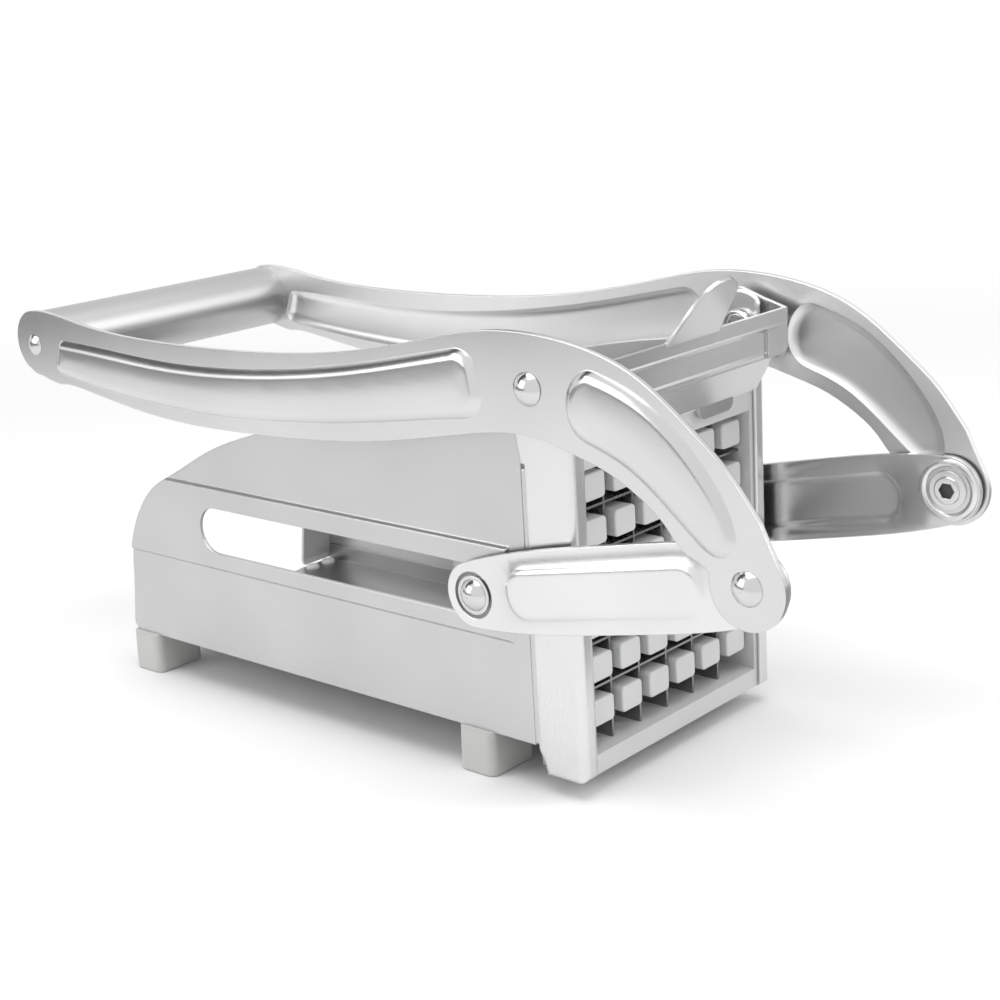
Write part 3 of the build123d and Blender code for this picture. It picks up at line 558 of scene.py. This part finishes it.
def area(loop):
    return 0.5 * sum(a.x * b.y - b.x * a.y for a, b in zip(loop, loop[1:] + loop[:1]))


def resampled(loop, step):
    """The same closed loop with evenly spaced points, so that its rings stay smooth."""
    closed = loop + loop[:1]
    lengths = [0.0]
    for a, b in zip(closed, closed[1:]):
        lengths.append(lengths[-1] + (b - a).length)
    count = max(12, round(lengths[-1] / step))
    points, piece = [], 0
    for i in range(count):
        want = lengths[-1] * i / count
        while lengths[piece + 1] < want:
            piece += 1
        share = (want - lengths[piece]) / (lengths[piece + 1] - lengths[piece])
        points.append(closed[piece].lerp(closed[piece + 1], share))
    return points


def edge_distance(point, loop):
    """Distance from a point to a closed loop."""
    best = 1e9
    for a, b in zip(loop, loop[1:] + loop[:1]):
        along = b - a
        share = max(0.0, min(1.0, (point - a).dot(along) / along.length_squared))
        best = min(best, (a + share * along - point).length)
    return best


def inside(point, loop):
    crossings = 0
    for a, b in zip(loop, loop[1:] + loop[:1]):
        if (a.y > point.y) != (b.y > point.y):
            crossings += point.x < a.x + (point.y - a.y) * (b.x - a.x) / (b.y - a.y)
    return crossings % 2 == 1


def ring(loop, depth):
    """Points at one depth inside a loop; where a ring would cross itself, points are left out."""
    turn = 1.0 if area(loop) > 0 else -1.0
    made = []
    for before, here, after in zip(loop[-1:] + loop[:-1], loop, loop[1:] + loop[:1]):
        along = (after - before).normalized()
        point = here + turn * depth * Vector((-along.y, along.x))
        if edge_distance(point, loop) > RING_TRUST * depth:
            made.append(point)
    return made


def panel_height(depth, full, shoulder):
    """Steep at the edge, rolling over into the ridge, then a low crown."""
    climb = 1.0 - (1.0 - min(1.0, depth / shoulder)) ** SHOULDER_POWER
    crown = 1.0 - (1.0 - min(1.0, depth / CROWN_REACH)) ** 2
    return full * (RIDGE_SHARE * climb + (1.0 - RIDGE_SHARE) * crown)


# %% Build one pressed plate
def pressed_plate(name, node, side, sheet, full, shoulder, metal, body):
    """A blank with raised panels and a rounded edge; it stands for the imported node."""
    low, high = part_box(node)
    outermost = (low if side < 0 else high).y
    face_y = outermost - side * full
    loops = flat_loops(nodes[node], face_y)
    outline = loops[0]
    panels = [resampled(loop, LOOP_STEP) for loop in loops[1:] if spread(loop) > PANEL_SMALLEST]
    holes = [loop for loop in loops[1:] if spread(loop) <= PANEL_SMALLEST]
    points, heights, fences = [], [], []

    def add_loop(loop, height):
        first = len(points)
        points.extend(loop)
        heights.extend([height] * len(loop))
        fences.extend((first + i, first + (i + 1) % len(loop)) for i in range(len(loop)))

    add_loop(outline, 0.0)
    for loop in [*holes, *panels]:
        add_loop(loop, 0.0)
    for loop in panels:
        for depth in ring_depths:
            made = ring(loop, depth)
            points.extend(made)
            heights.extend([panel_height(depth, full, shoulder)] * len(made))
        x_low, x_high = min(p.x for p in loop), max(p.x for p in loop)
        z_low, z_high = min(p.y for p in loop), max(p.y for p in loop)
        for i in range(int((x_high - x_low) / GRID_STEP)):
            for j in range(int((z_high - z_low) / GRID_STEP)):
                point = Vector((x_low + (i + 0.5 * (j % 2)) * GRID_STEP, z_low + j * GRID_STEP))
                if inside(point, loop):
                    depth = edge_distance(point, loop)
                    if depth > ring_depths[-1] + 0.5 * GRID_STEP:
                        points.append(point)
                        heights.append(panel_height(depth, full, shoulder))

    flat, _, triangles, origin, _, _ = delaunay_2d_cdt(points, fences, [], 1, WELD)
    height_of = [heights[sources[0]] if sources else 0.0 for sources in origin]
    mesh = bmesh.new()
    outer = [mesh.verts.new((p.x, face_y + side * h, p.y)) for p, h in zip(flat, height_of)]
    inner = [mesh.verts.new(v.co - Vector((0.0, side * sheet, 0.0))) for v in outer]
    for triangle in triangles:
        centre = sum((flat[i] for i in triangle), Vector((0.0, 0.0))) / 3
        if any(inside(centre, hole) for hole in holes):
            continue
        mesh.faces.new([outer[i] for i in triangle])
        mesh.faces.new([inner[i] for i in reversed(triangle)])
    inner_of = dict(zip(outer, inner))
    rims = [edge for edge in mesh.edges if edge.is_boundary and edge.verts[0] in inner_of]
    for edge in rims:
        a, b = edge.verts
        mesh.faces.new((a, b, inner_of[b], inner_of[a]))
    loose = [v for v in mesh.verts if not v.link_faces]
    bmesh.ops.delete(mesh, geom=loose, context="VERTS")
    bmesh.ops.recalc_face_normals(mesh, faces=mesh.faces)
    plate = bpy.data.objects.new(name, bpy.data.meshes.new(name))
    mesh.to_mesh(plate.data)
    faces = len(mesh.faces)
    mesh.free()
    plate.data.shade_smooth()
    plate.data.set_sharp_from_angle(angle=math.radians(40))
    bpy.context.scene.collection.objects.link(plate)
    plate.data.materials.append(finishes[metal])
    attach(plate, body)
    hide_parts(node)
    print(name, "panels", len(panels), "holes", len(holes), "faces", faces)
    return plate


# %% The four plates
PANEL_SMALLEST = 15 * MM
PLATE_SHEET = 1.5 * MM
ARM_PANEL = 1.6 * MM
LINK_PANEL = 0.9 * MM
ARM_SHOULDER = 2.9 * MM
LINK_SHOULDER = 2.1 * MM
# the far plates take painted lit and shaded copies of the near plates' steels
for side, side_name, arm_metal, link_metal in ((-1, "near", "arm_steel", "link_steel"),
                                               (1, "far", "far_arm_lit_steel", "far_link_shaded_steel")):
    pressed_plate(side_name + "_arm_plate", side_name + "_lever_arm", side, PLATE_SHEET, ARM_PANEL,
                  ARM_SHOULDER, arm_metal, "lever")
    pressed_plate(side_name + "_link_plate", side_name + "_link_arm", side, PLATE_SHEET, LINK_PANEL,
                  LINK_SHOULDER, link_metal, "links")

# %% [markdown]
# ## Small turned parts
#
# Seen from inside, the front nut of each link sits in a pressed collar, and its hexagon socket is deep. The
# shade in the socket is painted: a near-black disc just over the pin's end. Both are simple shapes of
# revolution round the front pin's own axis.

# %% Turn a profile round a pin
def turned_part(name, centre, profile, metal, body):
    """A ring of revolution round an axis along Y; the profile is a closed list of (radius, y)."""
    segments = 64
    mesh = bmesh.new()
    rows = []
    for i in range(segments):
        angle = 2 * math.pi * i / segments
        rows.append([mesh.verts.new((centre.x + r * math.cos(angle), y, centre.z + r * math.sin(angle)))
                     for r, y in profile])
    for row, following in zip(rows, rows[1:] + rows[:1]):
        for k in range(len(profile)):
            after = (k + 1) % len(profile)
            mesh.faces.new((row[k], row[after], following[after], following[k]))
    bmesh.ops.recalc_face_normals(mesh, faces=mesh.faces)
    made = bpy.data.objects.new(name, bpy.data.meshes.new(name))
    mesh.to_mesh(made.data)
    mesh.free()
    made.data.shade_smooth()
    made.data.set_sharp_from_angle(angle=math.radians(35))
    bpy.context.scene.collection.objects.link(made)
    made.data.materials.append(finishes[metal])
    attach(made, body)
    return made


# %% Collars and sockets
COLLAR = ((6.0, 0.0), (6.3, 0.30), (6.7, 0.45), (7.2, 0.45), (7.8, 0.25), (8.1, 0.0), (8.1, -0.2),
          (6.0, -0.2))              # radius and rise above the link's inner face, in mm
SOCKET_RADIUS = 2.5 * MM
SOCKET_CENTRE = 0.05 * MM
SOCKET_LIFT = 0.02 * MM
SOCKET_SUNK = 0.1 * MM
for side, side_name in ((-1, "near"), (1, "far")):
    nut_low, nut_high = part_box(side_name + "_front_nut")
    link_low, link_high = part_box(side_name + "_link_arm")
    pin_low, pin_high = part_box(side_name + "_front_pin")
    link_face = (link_low if side < 0 else link_high).y - side * (LINK_PANEL + PLATE_SHEET)
    pin_end = (pin_high if side < 0 else pin_low).y
    centre = (nut_low + nut_high) / 2
    turned_part(side_name + "_link_collar", centre, [(r * MM, link_face - side * h * MM) for r, h in COLLAR],
                "link_steel", "links")
    # painted shade: this near-black disc over the pin's end stands for the shade deep in the hexagon socket
    floor_y = pin_end - side * SOCKET_LIFT
    sunk_y = pin_end + side * SOCKET_SUNK
    turned_part(side_name + "_socket_shade_disc", centre,
                [(SOCKET_CENTRE, floor_y), (SOCKET_RADIUS, floor_y), (SOCKET_RADIUS, sunk_y),
                 (SOCKET_CENTRE, sunk_y)], "painted_shade_socket", "lever")
print("collars and sockets turned")

# %% [markdown]
# The seam between each side wall and its front post is a deep groove in the plain model, because
# the post's bend falls away from the wall's sharp end. A thin filler strip just below the surface
# turns it into the soft line of two sheets that meet.

# %% Fill the seams
SEAM_WIDTH = 1.3 * MM
SEAM_BELOW_FACE = 0.15 * MM
SEAM_TOP = 82.5 * MM
FILLER_SHEET = 0.5 * MM
FILLER_LAP = 0.3 * MM
FILLER_OFF_FLOOR = 0.5 * MM


def filler_strip(name, low, high, metal, body):
    """A plain bar between two corners."""
    bar = bmesh.new()
    bmesh.ops.create_cube(bar, size=1.0)
    bmesh.ops.scale(bar, vec=high - low, verts=bar.verts)
    bmesh.ops.translate(bar, vec=(low + high) / 2, verts=bar.verts)
    made = bpy.data.objects.new(name, bpy.data.meshes.new(name))
    bar.to_mesh(made.data)
    bar.free()
    bpy.context.scene.collection.objects.link(made)
    made.data.materials.append(finishes[metal])
    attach(made, body)
    return made


for side, side_name in ((-1, "near"), (1, "far")):
    wall_low, wall_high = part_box(side_name + "_side_wall")
    post_low, post_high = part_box(side_name + "_front_post")
    face = (post_low if side < 0 else post_high).y - side * SEAM_BELOW_FACE
    behind = face - side * FILLER_SHEET
    filler_strip(side_name + "_seam_filler",
                 Vector((wall_high.x - FILLER_LAP, min(face, behind), wall_low.z + FILLER_OFF_FLOOR)),
                 Vector((wall_high.x + SEAM_WIDTH, max(face, behind), SEAM_TOP)), "wall_steel", "body")
    print(side_name, "seam at x", round(wall_high.x / MM, 1), "face at y", round(face / MM, 2))
